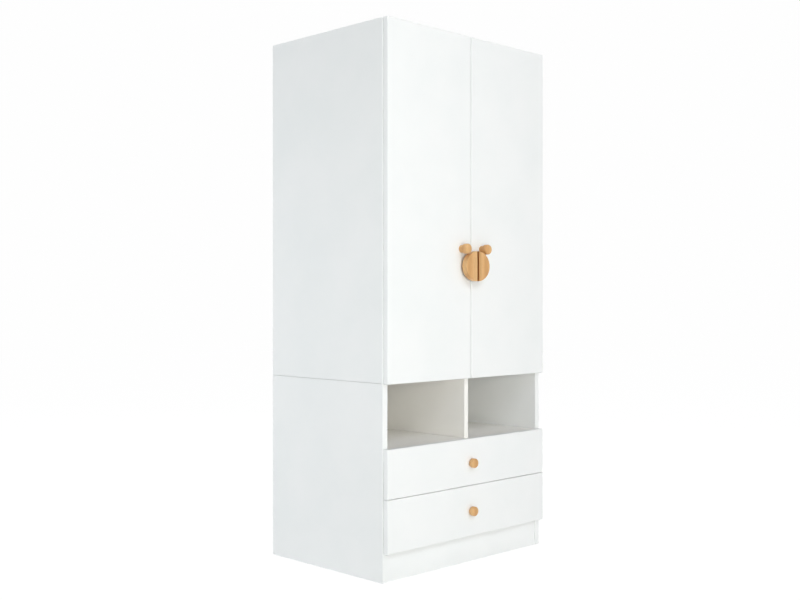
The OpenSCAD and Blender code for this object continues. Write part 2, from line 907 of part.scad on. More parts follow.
// Runner members at the left side: a channel that opens towards +X or -X
module channel(x0, x1, half, z, web_at_low) {
    difference() {
        board([x0, runner_y, z - half], [x1, runner_y + runner_l, z + half]);
        board([x0 + (web_at_low ? runner_sheet : -cut), runner_y - cut, z - half + runner_sheet],
              [x1 + (web_at_low ? cut : -runner_sheet), runner_y + runner_l + cut, z + half - runner_sheet]);
    }
}

module runner_rail(z) {
    difference() {
        channel(-inner_x, -inner_x + runner_w - lip_gap, rail_half, z, true);
        runner_screws(fit);
    }
}

module runner_rails() {
    color(steel) both_sides() for (z = [lower_runner_z, upper_runner_z]) runner_rail(z);
}

// A strip with its balls, between two tracks
module ball_cage(y0, l, z) {
    x = -inner_x + runner_w / 2;
    translate([x - cage_w / 2, y0, z - cage_t / 2]) cube([cage_w, l, cage_t]);
    for (i = [0:balls - 1]) translate([x, y0 + l * (i + 0.5) / balls, z]) sphere(r = ball_d / 2);
}

module runner_middle(z) {
    cage_l = runner_l - half_travel - cage_room;
    channel(-inner_x + runner_sheet + web_gap, -inner_x + runner_w - lip_gap, mid_half, z, true);
    for (s = [-1, 1]) {
        ball_cage(runner_y + runner_l - cage_l - cage_in, cage_l, z + s * (mid_half + track_gap / 2));
        ball_cage(runner_y + cage_in, cage_l, z + s * (slide_half + track_gap / 2));
    }
}

module runner_slide(z) {
    difference() {
        channel(-inner_x + 2 * (runner_sheet + web_gap), -box_x, slide_half, z, false);
        slide_screws(z, fit);
    }
}

// Drawers
module slide_screws(z, spare) {
    for (y = slide_screw_ys) translate([-box_x - runner_sheet, runner_y + y, z]) rotate([0, 90, 0]) {
        cylinder(r = wood_screw_r + spare, h = runner_sheet + box_t - slide_screw_stop + spare * 4);
        if (spare == 0) translate([0, 0, -pan_h]) cylinder(r = pan_r, h = pan_h);
    }
}

box_bolt_low = 28;
box_bolt_high = 24;
function box_bolt_zs(z, h) = [z + box_bolt_low, z + h - box_bolt_high];

module box_bolts(z, h, spare) {
    for (bz = box_bolt_zs(z, h))
        rod_y(-box_x + box_t / 2, y_rear - box_bolt_deep - spare, y_rear + box_cam_in - bolt_stop, bz,
              spare > 0 ? box_bolt_bore_r : box_bolt_r);
}

module box_cam_places(z, h) {
    for (bz = box_bolt_zs(z, h)) translate([-box_x + box_t, y_rear + box_cam_in, bz])
        rotate([0, -90, 0]) rotate([0, 0, 90]) children();
}

// Screws through the drawer sides into the back
box_screw_in = 20;
box_screw_l = 38;
box_screw_head_r = 3.5;
box_screw_head_h = 2;

module box_back_screws(z, h, spare) {
    for (bz = [z + base_lift + base_t + box_screw_in, z + h - box_screw_in])
        translate([-box_x, box_end - box_t / 2, bz]) rotate([0, 90, 0]) {
            translate([0, 0, -spare])
                cylinder(r1 = box_screw_head_r + spare, r2 = wood_screw_r + spare,
                         h = box_screw_head_h + spare);
            cylinder(r = wood_screw_r + spare, h = box_screw_l + spare * 4);
        }
}

module drawer_front(fz, fh, knob_z, z, h) {
    color(white) difference() {
        translate([0, y_rear, fz]) soft_board(2 * edge_x, fh);
        machine_screw(0, knob_z, machine_grip, screw_spare);
        both_sides() box_bolts(z, h, bolt_spare);
        board([-box_x + box_t - groove_d, y_rear - groove_d, z + base_lift - fit],
              [box_x - box_t + groove_d, y_rear + cut, z + base_lift + base_t + fit]);
    }
}

module drawer_side(z, h) {
    color(inner_white) difference() {
        board([-box_x, y_rear, z], [-box_x + box_t, box_end, z + h]);
        board([-box_x + box_t - groove_d, y_rear - cut, z + base_lift - fit],
              [-box_x + box_t + cut, box_end + cut, z + base_lift + base_t + fit]);
        box_bolts(z, h, bolt_spare);
        box_cam_places(z, h) cam_pocket(box_cam_r, box_cam_h);
        box_back_screws(z, h, fit);
        slide_screws(z + runner_lift, fit);
    }
}

module drawer_back(z, h) {
    color(inner_white) difference() {
        board([-box_x + box_t, box_end - box_t, z + base_lift + base_t],
              [box_x - box_t, box_end, z + h]);
        both_sides() box_back_screws(z, h, fit);
    }
}

base_clear = 0.2;

module drawer_base(z) {
    side = box_x - box_t + groove_d - base_clear;
    color(inner_white) board([-side, y_rear - groove_d + base_clear, z + base_lift],
                             [side, box_end, z + base_lift + base_t]);
}

knob_neck_r = 9;
knob_neck_l = 5;
knob_back_soft = 1.5;
knob_front_soft = 5;

module drawer_knob(z) {
    color(beech) difference() {
        translate([0, y_face, z]) rotate([90, 0, 0]) rotate_extrude()
            polygon(turned_section(knob_r, knob_neck_r, knob_neck_l, knob_l, knob_back_soft,
                                   knob_front_soft));
        machine_screw(0, z, machine_grip, screw_spare);
    }
}

module drawer_fixings(knob_z, z, h) {
    color(steel) {
        machine_screw(0, knob_z, machine_grip, 0);
        both_sides() {
            box_bolts(z, h, 0);
            box_cam_places(z, h) cam_lock(box_cam_r, box_cam_h, box_t / 2, box_bolt_bore_r);
            box_back_screws(z, h, 0);
            slide_screws(z + runner_lift, 0);
        }
    }
}

module upper_drawer_front() {
    drawer_front(upper_front_z, upper_front_h, upper_knob_z, upper_box_z, upper_box_h);
}
module upper_drawer_left() { drawer_side(upper_box_z, upper_box_h); }
module upper_drawer_right() { mirror([1, 0, 0]) upper_drawer_left(); }
module upper_drawer_back() { drawer_back(upper_box_z, upper_box_h); }
module upper_drawer_base() { drawer_base(upper_box_z); }
module upper_drawer_knob() { drawer_knob(upper_knob_z); }
module upper_drawer_fixings() { drawer_fixings(upper_knob_z, upper_box_z, upper_box_h); }
module upper_drawer_rails() { color(steel) both_sides() runner_slide(upper_runner_z); }
module upper_runner_middles() { color(steel) both_sides() runner_middle(upper_runner_z); }
module lower_drawer_front() {
    drawer_front(lower_front_z, lower_front_h, lower_knob_z, lower_box_z, lower_box_h);
}
module lower_drawer_left() { drawer_side(lower_box_z, lower_box_h); }
module lower_drawer_right() { mirror([1, 0, 0]) lower_drawer_left(); }
module lower_drawer_back() { drawer_back(lower_box_z, lower_box_h); }
module lower_drawer_base() { drawer_base(lower_box_z); }
module lower_drawer_knob() { drawer_knob(lower_knob_z); }
module lower_drawer_fixings() { drawer_fixings(lower_knob_z, lower_box_z, lower_box_h); }
module lower_drawer_rails() { color(steel) both_sides() runner_slide(lower_runner_z); }
module lower_runner_middles() { color(steel) both_sides() runner_middle(lower_runner_z); }

upper_left_side();
upper_right_side();
top_panel();
upper_floor();
upper_back();
wall_rail();
hat_shelf();
shelf_pins();
hanging_rail();
rail_sockets();
lower_left_side();
lower_right_side();
cubby_floor();
cubby_divider();
lower_floor();
lower_back();
kick_board();
rear_kick_rail();
floor_glides();
front_buffers();
dowels();
cam_locks();
cam_bolts();
carcass_screws();
hinge_plates();
hinge_arms();
runner_rails();
left_door();
left_hinge_cups();
left_hinge_pins();
left_pull();
left_pull_foot();
left_ear_knob();
left_door_screws();
right_door();
right_hinge_cups();
right_hinge_pins();
right_pull();
right_pull_foot();
right_ear_knob();
right_door_screws();
upper_drawer_front();
upper_drawer_left();
upper_drawer_right();
upper_drawer_back();
upper_drawer_base();
upper_drawer_knob();
upper_drawer_fixings();
upper_drawer_rails();
upper_runner_middles();
lower_drawer_front();
lower_drawer_left();
lower_drawer_right();
lower_drawer_back();
lower_drawer_base();
lower_drawer_knob();
lower_drawer_fixings();
lower_drawer_rails();
lower_runner_middles();
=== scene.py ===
"""Looks of a tall white wardrobe with two doors, two open cubbies and two drawers.

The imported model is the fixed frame: every board, pull and knob made here takes its place and
size from the frame's own nodes, and each one rides on the body that carries it.
"""

import logging
import math
from collections.abc import Iterable
from dataclasses import dataclass, field
from enum import Enum

import bmesh
import bpy
from mathutils import Matrix, Vector


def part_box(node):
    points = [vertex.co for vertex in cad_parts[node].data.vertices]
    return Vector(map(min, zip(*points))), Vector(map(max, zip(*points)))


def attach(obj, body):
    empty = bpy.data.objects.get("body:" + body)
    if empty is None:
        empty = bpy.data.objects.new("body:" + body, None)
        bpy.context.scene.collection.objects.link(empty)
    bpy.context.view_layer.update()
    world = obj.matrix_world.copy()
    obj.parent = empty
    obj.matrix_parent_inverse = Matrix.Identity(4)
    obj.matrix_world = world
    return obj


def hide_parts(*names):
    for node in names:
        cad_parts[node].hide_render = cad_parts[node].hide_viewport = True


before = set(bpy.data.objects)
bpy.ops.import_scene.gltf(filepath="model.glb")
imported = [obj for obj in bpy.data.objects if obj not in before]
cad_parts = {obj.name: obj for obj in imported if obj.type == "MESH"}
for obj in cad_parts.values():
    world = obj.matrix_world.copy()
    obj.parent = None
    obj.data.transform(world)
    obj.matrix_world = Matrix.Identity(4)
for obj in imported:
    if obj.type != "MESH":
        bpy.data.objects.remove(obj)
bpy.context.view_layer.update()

log = logging.getLogger("wardrobe")
MM = 0.001
SLACK = 0.01 * MM  # places nearer than this count as one
Y, Z = 1, 2  # the places of two axes in a vector
CORNER_ANGLE = 60.0  # an edge that turns more than this, in degrees, is a corner and not part of a round
NOISE_LOW, NOISE_HIGH = 0.35, 0.65  # the range that most of a noise lies in
WOOD_SMOOTH_ANGLE = 40.0  # wooden pieces are rounder than boards, so more of their edges are shaded smooth


def srgb(red: int, green: int, blue: int) -> tuple[float, float, float, float]:
    """Turns a colour written in 0 to 255 display values into linear light.

    Args:
        red: Red, 0 to 255.
        green: Green, 0 to 255.
        blue: Blue, 0 to 255.

    Returns:
        The linear colour with an alpha of 1.
    """
    parts = [value / 255 for value in (red, green, blue)]
    linear = [p / 12.92 if p <= 0.04045 else ((p + 0.055) / 1.055) ** 2.4 for p in parts]
    return (*linear, 1.0)


class Side(Enum):
    """The two halves of the wardrobe, seen from the front."""

    LEFT = "left"
    RIGHT = "right"

    @property
    def sign(self) -> int:
        """The sign of X on this side."""
        return -1 if self is Side.LEFT else 1


class Level(Enum):
    """The upper and the lower one, of the drawers and of the side boards."""

    UPPER = "upper"
    LOWER = "lower"


class Slot(Enum):
    """The record's material slots."""

    BOARD = "white_board"
    INNER = "inner_board"
    BOX = "drawer_box_board"
    BEECH = "beech"
    DOWEL = "dowel_wood"
    STEEL = "hardware_steel"
    CHROME = "rail_chrome"
    BUFFER = "buffer_plastic"
    GLIDE = "glide_plastic"


@dataclass(frozen=True)
class Grain:
    """A noise: how fine it is, how many octaves it has and how strong the fine ones are."""

    scale: float
    detail: float
    rough: float = 0.5


class Graph:
    """A material's node tree, with short calls that add nodes and link them."""

    def __init__(self, name: str) -> None:
        """Starts an empty material with its output and one shader.

        Args:
            name: The material's name.
        """
        self.material = bpy.data.materials.new(name)
        self.material.use_nodes = True
        self.tree = self.material.node_tree
        self.tree.nodes.clear()
        self.shader = self.add("ShaderNodeBsdfPrincipled")
        output = self.add("ShaderNodeOutputMaterial")
        self.link(self.shader, "BSDF", output, "Surface")
        self.place = self.add("ShaderNodeTexCoord")

    def add(self, kind: str, sockets: dict | None = None, **settings) -> bpy.types.Node:
        """Adds a node.

        Args:
            kind: The node's type.
            sockets: Values of its input sockets, by name or number.
            **settings: Values of its properties.

        Returns:
            The new node.
        """
        node = self.tree.nodes.new(kind)
        for name, value in settings.items():
            setattr(node, name, value)
        for socket, value in (sockets or {}).items():
            node.inputs[socket].default_value = value
        return node

    def link(self, source: bpy.types.Node, out: str | int, target: bpy.types.Node, into: str | int) -> None:
        """Joins one node's output to another's input."""
        self.tree.links.new(source.outputs[out], target.inputs[into])

    def mapped(self, scale: tuple[float, float, float] = (1, 1, 1)) -> bpy.types.Node:
        """Adds a mapping of the object's own coordinates.

        Args:
            scale: How much the pattern is packed along each axis.

        Returns:
            The mapping node.
        """
        node = self.add("ShaderNodeMapping", {"Scale": scale})
        self.link(self.place, "Object", node, "Vector")
        return node

    def noise(self, source: bpy.types.Node, grain: Grain) -> bpy.types.Node:
        """Adds noise on a mapping.

        Args:
            source: The mapping node.
            grain: How the noise looks.

        Returns:
            The noise node.
        """
        node = self.add("ShaderNodeTexNoise",
                        {"Scale": grain.scale, "Detail": grain.detail, "Roughness": grain.rough})
        self.link(source, "Vector", node, "Vector")
        return node

    def spread(self, source: bpy.types.Node, out: str, low: float, high: float,
               start: float = NOISE_LOW, end: float = NOISE_HIGH) -> bpy.types.Node:
        """Adds a map range, from a pattern's usual range to a wanted one.

        Args:
            source: The node that gives the pattern.
            out: Its output.
            low: The value at the pattern's start.
            high: The value at the pattern's end.
            start: The pattern's low value.
            end: The pattern's high value.

        Returns:
            The map range node.
        """
        node = self.add("ShaderNodeMapRange",
                        {"From Min": start, "From Max": end, "To Min": low, "To Max": high})
        self.link(source, out, node, "Value")
        return node

    def ramp(self, source: bpy.types.Node, out: str, stops: list[tuple[float, tuple]]) -> bpy.types.Node:
        """Adds a colour ramp.

        Args:
            source: The node that gives the factor.
            out: Its output.
            stops: Places from 0 to 1 with their linear colours.

        Returns:
            The ramp node.
        """
        node = self.add("ShaderNodeValToRGB")
        elements = node.color_ramp.elements
        while len(elements) < len(stops):
            elements.new(0.5)
        for element, (where, colour) in zip(elements, stops):
            element.position, element.color = where, colour
        self.link(source, out, node, "Fac")
        return node

    def mix(self, factor: bpy.types.Node, out: str | int, first: bpy.types.NodeSocket,
            second: bpy.types.NodeSocket | tuple, kind: str = "MIX") -> bpy.types.NodeSocket:
        """Adds a mix of two colours.

        Args:
            factor: The node that gives the share of the second colour.
            out: Its output.
            first: The socket that gives the first colour.
            second: The socket that gives the second colour, or the colour itself.
            kind: How the colours are mixed.

        Returns:
            The socket of the mixed colour.
        """
        node = self.add("ShaderNodeMix", data_type="RGBA", blend_type=kind)
        self.link(factor, out, node, 0)
        self.tree.links.new(first, node.inputs[6])
        if isinstance(second, tuple):
            node.inputs[7].default_value = second
        else:
            self.tree.links.new(second, node.inputs[7])
        return node.outputs[2]

    def gate(self, source: bpy.types.Node, out: str | int, operation: str, level: float) -> bpy.types.Node:
        """Adds a comparison with a fixed level.

        Args:
            source: The node that gives the value.
            out: Its output.
            operation: LESS_THAN or GREATER_THAN.
            level: The level.

        Returns:
            The node, which gives 1 where the comparison holds and 0 elsewhere.
        """
        node = self.add("ShaderNodeMath", {1: level}, operation=operation)
        self.link(source, out, node, 0)
        return node

    def bump(self, source: bpy.types.Node, out: str, strength: float, depth: float) -> None:
        """Raises the surface by a pattern.

        Args:
            source: The node that gives the height.
            out: Its output.
            strength: The share of the full effect.
            depth: The height of the pattern, in metres.
        """
        node = self.add("ShaderNodeBump", {"Strength": strength, "Distance": depth})
        self.link(source, out, node, "Height")
        self.link(node, "Normal", self.shader, "Normal")


@dataclass(frozen=True)
class WhiteLacquer:
    """Satin white lacquer over a smooth board: a faint roller texture and slightly uneven gloss."""

    name: str = "white_lacquer"
    light: tuple = srgb(247, 248, 247)
    shade: tuple = srgb(244, 246, 245)
    gloss_low: float = 0.34
    gloss_high: float = 0.46
    clouds: Grain = Grain(5.0, 3.0)
    patches: Grain = Grain(22.0, 4.0, 0.6)
    peel: Grain = Grain(420.0, 3.0, 0.55)
    peel_strength: float = 0.35
    peel_depth: float = 0.05 * MM

    def build(self) -> bpy.types.Material:
        """Builds the material."""
        graph = Graph(self.name)
        place = graph.mapped()
        tint = graph.ramp(graph.noise(place, self.clouds), "Fac",
                          [(NOISE_LOW, self.shade), (NOISE_HIGH, self.light)])
        graph.link(tint, "Color", graph.shader, "Base Color")
        gloss = graph.spread(graph.noise(place, self.patches), "Fac", self.gloss_low, self.gloss_high)
        graph.link(gloss, "Result", graph.shader, "Roughness")
        graph.bump(graph.noise(place, self.peel), "Fac", self.peel_strength, self.peel_depth)
        return graph.material


@dataclass(frozen=True)
class Foil:
    """White foil with a fine printed grain, on the boards of the drawer boxes."""

    name: str = "drawer_foil"
    light: tuple = srgb(240, 240, 236)
    shade: tuple = srgb(235, 235, 231)
    stretch: float = 0.03
    printed: Grain = Grain(160.0, 5.0, 0.65)
    tint_low: float = 0.4
    tint_high: float = 0.6
    gloss_low: float = 0.42
    gloss_high: float = 0.58
    grain_strength: float = 0.3
    grain_depth: float = 0.04 * MM

    def build(self) -> bpy.types.Material:
        """Builds the material."""
        graph = Graph(self.name)
        grain = graph.noise(graph.mapped((1, self.stretch, 1)), self.printed)
        tint = graph.ramp(grain, "Fac", [(self.tint_low, self.shade), (self.tint_high, self.light)])
        graph.link(tint, "Color", graph.shader, "Base Color")
        gloss = graph.spread(grain, "Fac", self.gloss_low, self.gloss_high)
        graph.link(gloss, "Result", graph.shader, "Roughness")
        graph.bump(grain, "Fac", self.grain_strength, self.grain_depth)
        return graph.material


@dataclass(frozen=True)
class Wood:
    """Oiled wood with straight upright grain: broad bands, fine fibres, short dark flecks and painted shade
    in the pull's split.
    """

    name: str
    dark: tuple
    mid: tuple
    light: tuple
    fleck: tuple
    mid_place: float = 0.45
    band_scale: float = 9.0
    band_stretch: float = 0.09
    band_bend: float = 5.5
    band_detail: float = 3.0
    band_detail_scale: float = 1.6
    band_detail_rough: float = 0.55
    fibres: Grain = Grain(900.0, 4.0, 0.7)
    fibre_stretch: float = 0.035
    fibre_low: float = 0.3
    fibre_high: float = 0.7
    fibre_dark: tuple = srgb(214, 214, 214)
    fibre_light: tuple = srgb(255, 255, 255)
    fibre_strength: float = 0.4
    fibre_depth: float = 0.12 * MM
    veil: Grain = Grain(40.0, 2.0)
    veil_least: float = 0.55
    fleck_scale: float = 620.0
    fleck_stretch: float = 0.11
    fleck_core: float = 0.1
    fleck_rim: float = 0.26
    fleck_share: float = 0.5
    gloss_low: float = 0.46
    gloss_high: float = 0.62
    # painted shade for the pull's narrow split: its colour, its reach from the middle plane and the height
    # above which it lies
    split_shade: tuple = (1.0, 1.0, 1.0, 1.0)
    split_shade_reach: float = 4.5 * MM
    split_shade_above: float = 0.9

    def banded(self, graph: Graph) -> bpy.types.NodeSocket:
        """Makes the broad bands of the grain.

        Args:
            graph: The material's graph.

        Returns:
            The socket of their colour.
        """
        bands = graph.add("ShaderNodeTexWave", {
            "Scale": self.band_scale, "Distortion": self.band_bend, "Detail": self.band_detail,
            "Detail Scale": self.band_detail_scale, "Detail Roughness": self.band_detail_rough},
            wave_type="BANDS", bands_direction="X", wave_profile="SIN")
        graph.link(graph.mapped((1, 1, self.band_stretch)), "Vector", bands, "Vector")
        tint = graph.ramp(bands, "Fac", [(0.0, self.dark), (self.mid_place, self.mid), (1.0, self.light)])
        return tint.outputs["Color"]

    def fibred(self, graph: Graph, fibre: bpy.types.Node,
               colour: bpy.types.NodeSocket) -> bpy.types.NodeSocket:
        """Lays the fibres over a colour, more in some places than in others.

        Args:
            graph: The material's graph.
            fibre: The noise of the fibres.
            colour: The socket of the colour below.

        Returns:
            The socket of the colour with the fibres in it.
        """
        tint = graph.ramp(fibre, "Fac",
                          [(self.fibre_low, self.fibre_dark), (self.fibre_high, self.fibre_light)])
        patches = graph.noise(graph.mapped((1, 1, self.band_stretch)), self.veil)
        share = graph.spread(patches, "Fac", self.veil_least, 1.0)
        return graph.mix(share, "Result", colour, tint.outputs["Color"], "MULTIPLY")

    def flecked(self, graph: Graph, colour: bpy.types.NodeSocket) -> bpy.types.NodeSocket:
        """Strews short dark flecks over a colour.

        Args:
            graph: The material's graph.
            colour: The socket of the colour below.

        Returns:
            The socket of the colour with the flecks in it.
        """
        cells = graph.add("ShaderNodeTexVoronoi", {"Scale": self.fleck_scale})
        graph.link(graph.mapped((1, 1, self.fleck_stretch)), "Vector", cells, "Vector")
        flecks = graph.spread(cells, "Distance", self.fleck_share, 0.0, self.fleck_core, self.fleck_rim)
        return graph.mix(flecks, "Result", colour, self.fleck)

    def painted_split_shade(self, graph: Graph, colour: bpy.types.NodeSocket) -> bpy.types.NodeSocket:
        """Paints shade, as a darker colour, onto the faces beside the split of the pull, which lie near the
        middle plane.

        Args:
            graph: The material's graph.
            colour: The socket of the grain's colour.

        Returns:
            The socket of the colour with the painted shade in it.
        """
        place = graph.add("ShaderNodeSeparateXYZ")
        graph.link(graph.place, "Object", place, "Vector")
        across = graph.add("ShaderNodeMath", operation="ABSOLUTE")
        graph.link(place, "X", across, 0)
        both = graph.add("ShaderNodeMath", operation="MULTIPLY")
        graph.link(graph.gate(across, 0, "LESS_THAN", self.split_shade_reach), 0, both, 0)
        graph.link(graph.gate(place, "Z", "GREATER_THAN", self.split_shade_above), 0, both, 1)
        return graph.mix(both, 0, colour, self.split_shade, "MULTIPLY")

    def build(self) -> bpy.types.Material:
        """Builds the material."""
        graph = Graph(self.name)
        fibre = graph.noise(graph.mapped((1, 1, self.fibre_stretch)), self.fibres)
        grained = self.flecked(graph, self.fibred(graph, fibre, self.banded(graph)))
        graph.tree.links.new(self.painted_split_shade(graph, grained), graph.shader.inputs["Base Color"])
        gloss = graph.spread(fibre, "Fac", self.gloss_high, self.gloss_low)
        graph.link(gloss, "Result", graph.shader, "Roughness")
        graph.bump(fibre, "Fac", self.fibre_strength, self.fibre_depth)
        return graph.material


@dataclass(frozen=True)
class PlatedMetal:
    """Plated metal: brushed along one axis, or polished with faint smudges."""

    name: str
    colour: tuple
    rough_low: float
    rough_high: float
    stretch: tuple[float, float, float]
    marks: Grain
    mark_strength: float = 0.15
    mark_depth: float = 0.03 * MM

    def build(self) -> bpy.types.Material:
        """Builds the material."""
        graph = Graph(self.name)
        graph.shader.inputs["Base Color"].default_value = self.colour
        graph.shader.inputs["Metallic"].default_value = 1.0
        marks = graph.noise(graph.mapped(self.stretch), self.marks)
        gloss = graph.spread(marks, "Fac", self.rough_low, self.rough_high)
        graph.link(gloss, "Result", graph.shader, "Roughness")
        graph.bump(marks, "Fac", self.mark_strength, self.mark_depth)
        return graph.material


@dataclass(frozen=True)
class Plastic:
    """Moulded plastic with a fine even grain."""

    name: str
    colour: tuple
    rough_low: float
    rough_high: float
    scatter: float = 0.0
    moulded: Grain = Grain(900.0, 3.0, 0.6)
    grain_strength: float = 0.3
    grain_depth: float = 0.06 * MM

    def build(self) -> bpy.types.Material:
        """Builds the material."""
        graph = Graph(self.name)
        graph.shader.inputs["Base Color"].default_value = self.colour
        graph.shader.inputs["Subsurface Weight"].default_value = self.scatter
        grain = graph.noise(graph.mapped(), self.moulded)
        gloss = graph.spread(grain, "Fac", self.rough_low, self.rough_high)
        graph.link(gloss, "Result", graph.shader, "Roughness")
        graph.bump(grain, "Fac", self.grain_strength, self.grain_depth)
        return graph.material


class Palette:
    """Every finish of the wardrobe, built once, by the record's slot."""

    def __init__(self) -> None:
        """Builds the materials."""
        # the last colour given to the beech is painted shade for the narrow split of the pull
        beech = Wood("oiled_beech", dark=srgb(220, 167, 108), mid=srgb(229, 179, 121),
                     light=srgb(237, 190, 132), fleck=srgb(190, 132, 76), split_shade=srgb(200, 172, 144))
        birch = Wood("raw_birch", dark=srgb(206, 176, 132), mid=srgb(218, 190, 148),
                     light=srgb(230, 206, 168), fleck=srgb(180, 146, 100), fleck_share=0.3)
        melamine = WhiteLacquer("warm_melamine", light=srgb(252, 250, 245), shade=srgb(250, 248, 243),
                                gloss_low=0.42, gloss_high=0.55, peel=Grain(600.0, 3.0, 0.55))
        nickel = PlatedMetal("nickel_plate", srgb(196, 198, 201), rough_low=0.24, rough_high=0.4,
                             stretch=(1, 0.08, 1), marks=Grain(500.0, 4.0, 0.6))
        chrome = PlatedMetal("polished_chrome", srgb(222, 224, 227), rough_low=0.08, rough_high=0.16,
                             stretch=(0.3, 1, 1), marks=Grain(60.0, 4.0, 0.6))
        buffer = Plastic("soft_clear_plastic", srgb(226, 230, 231), rough_low=0.3, rough_high=0.43,
                         scatter=0.2)
        glide = Plastic("pale_glide_plastic", srgb(214, 216, 217), rough_low=0.45, rough_high=0.58)
        self.materials = {
            Slot.BOARD: WhiteLacquer().build(), Slot.INNER: melamine.build(), Slot.BOX: Foil().build(),
            Slot.BEECH: beech.build(), Slot.DOWEL: birch.build(), Slot.STEEL: nickel.build(),
            Slot.CHROME: chrome.build(), Slot.BUFFER: buffer.build(), Slot.GLIDE: glide.build()}

    def dress(self, piece: bpy.types.Object, slot: Slot) -> None:
        """Gives a piece the material of a slot, in place of any it has."""
        piece.data.materials.clear()
        piece.data.materials.append(self.materials[slot])


@dataclass
class Workshop:
    """Makes pieces from bmesh shapes and puts them on the frame's bodies."""

    palette: Palette
    made: int = 0
    flatness: int = 50

    def finish(self, name: str, shape: bmesh.types.BMesh, slot: Slot, body: str, node: str,
               smooth_angle: float = 28.0) -> None:
        """Turns a shape into a finished piece that stands for a node.

        Its rounded edges are shaded smooth, and its wide faces stay flat beside them.

        Args:
            name: The piece's name.
            shape: The shape, which is freed.
            slot: The piece's material slot.
            body: The body that it rides on.
            node: The node that it stands for.
            smooth_angle: Edges flatter than this, in degrees, are shaded smooth.
        """
        bmesh.ops.recalc_face_normals(shape, faces=shape.faces)
        for face in shape.faces:
            face.smooth = True
        mesh = bpy.data.meshes.new(name)
        shape.to_mesh(mesh)
        shape.free()
        mesh.set_sharp_from_angle(angle=math.radians(smooth_angle))
        piece = bpy.data.objects.new(name, mesh)
        bpy.context.scene.collection.objects.link(piece)
        flat = piece.modifiers.new("flat_wide_faces", "WEIGHTED_NORMAL")
        flat.mode, flat.weight, flat.keep_sharp = "FACE_AREA", self.flatness, True
        self.palette.dress(piece, slot)
        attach(piece, body)
        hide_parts(node)
        self.made += 1
        log.info("made %s on %s, %d faces", name, body, len(mesh.polygons))

    def keep(self, node: str, slot: Slot) -> None:
        """Keeps a node's own shape and gives it its finish."""
        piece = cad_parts[node]
        self.palette.dress(piece, slot)
        log.info("kept %s", node)


def box_shape(low: Vector, high: Vector) -> bmesh.types.BMesh:
    """Makes a box between two corners."""
    shape = bmesh.new()
    bmesh.ops.create_cube(shape, size=1.0)
    bmesh.ops.scale(shape, vec=high - low, verts=shape.verts)
    bmesh.ops.translate(shape, vec=(low + high) / 2, verts=shape.verts)
    return shape


def rod_shape(start: Vector, end: Vector, radius: float, steps: int = 48) -> bmesh.types.BMesh:
    """Makes a closed round rod.

    Args:
        start: The centre of one end.
        end: The centre of the other end.
        radius: The rod's radius.
        steps: The number of its sides.

    Returns:
        The rod's shape.
    """
    shape = bmesh.new()
    run = end - start
    bmesh.ops.create_cone(shape, cap_ends=True, segments=steps, radius1=radius, radius2=radius,
                          depth=run.length)
    turn = run.to_track_quat("Z", "Y").to_matrix().to_4x4()
    place = Matrix.Translation((start + end) / 2)
    bmesh.ops.transform(shape, matrix=place @ turn, verts=shape.verts)
    return shape


def carve(shape: bmesh.types.BMesh, cutters: list[bmesh.types.BMesh],
          flat_angle: float = 0.5) -> bmesh.types.BMesh:
    """Cuts shapes out of a shape.

    Args:
        shape: The shape to cut, which is freed.
        cutters: The shapes to take away, which are freed.
        flat_angle: Faces that turn less than this, in degrees, become one.

    Returns:
        The cut shape, merged and with its flat faces whole.
    """
    holders = []
    for number, source in enumerate([shape, *cutters]):
        mesh = bpy.data.meshes.new(f"carve_{number}")
        source.to_mesh(mesh)
        source.free()
        holder = bpy.data.objects.new(mesh.name, mesh)
        bpy.context.scene.collection.objects.link(holder)
        holders.append(holder)
    for cutter in holders[1:]:
        cut = holders[0].modifiers.new("cut", "BOOLEAN")
        cut.operation, cut.solver, cut.object = "DIFFERENCE", "EXACT", cutter
    evaluated = holders[0].evaluated_get(bpy.context.evaluated_depsgraph_get())
    result = bmesh.new()
    result.from_mesh(evaluated.to_mesh())
    evaluated.to_mesh_clear()
    for holder in holders:
        mesh = holder.data
        bpy.data.objects.remove(holder)
        bpy.data.meshes.remove(mesh)
    bmesh.ops.remove_doubles(result, verts=result.verts, dist=SLACK / 10)
    bmesh.ops.dissolve_limit(result, angle_limit=math.radians(flat_angle), verts=result.verts,
                             edges=result.edges)
    return result


def soften(shape: bmesh.types.BMesh, edges: list[bmesh.types.BMEdge], width: float, segments: int) -> None:
    """Rounds edges of a shape.

    Args:
        shape: The shape to round.
        edges: The edges to round.
        width: The width of the rounding.
        segments: The number of steps in it.
    """
    bmesh.ops.bevel(shape, geom=edges, offset=width, offset_type="OFFSET", affect="EDGES",
                    segments=segments, profile=0.5, material=-1, clamp_overlap=True)


def edges_at(edges: Iterable[bmesh.types.BMEdge], axis: int,
             level: float) -> list[bmesh.types.BMEdge]:
    """Finds the edges that lie in one plane.

    Args:
        edges: The edges to search.
        axis: The plane's axis, 0 to 2.
        level: Where the plane is along that axis.

    Returns:
        The edges in the plane.
    """
    return [edge for edge in edges if all(abs(vert.co[axis] - level) < SLACK for vert in edge.verts)]


def corner_edges(shape: bmesh.types.BMesh) -> list[bmesh.types.BMEdge]:
    """Finds the edges that are corners."""
    return [edge for edge in shape.edges if edge.calc_face_angle(0.0) > math.radians(CORNER_ANGLE)]


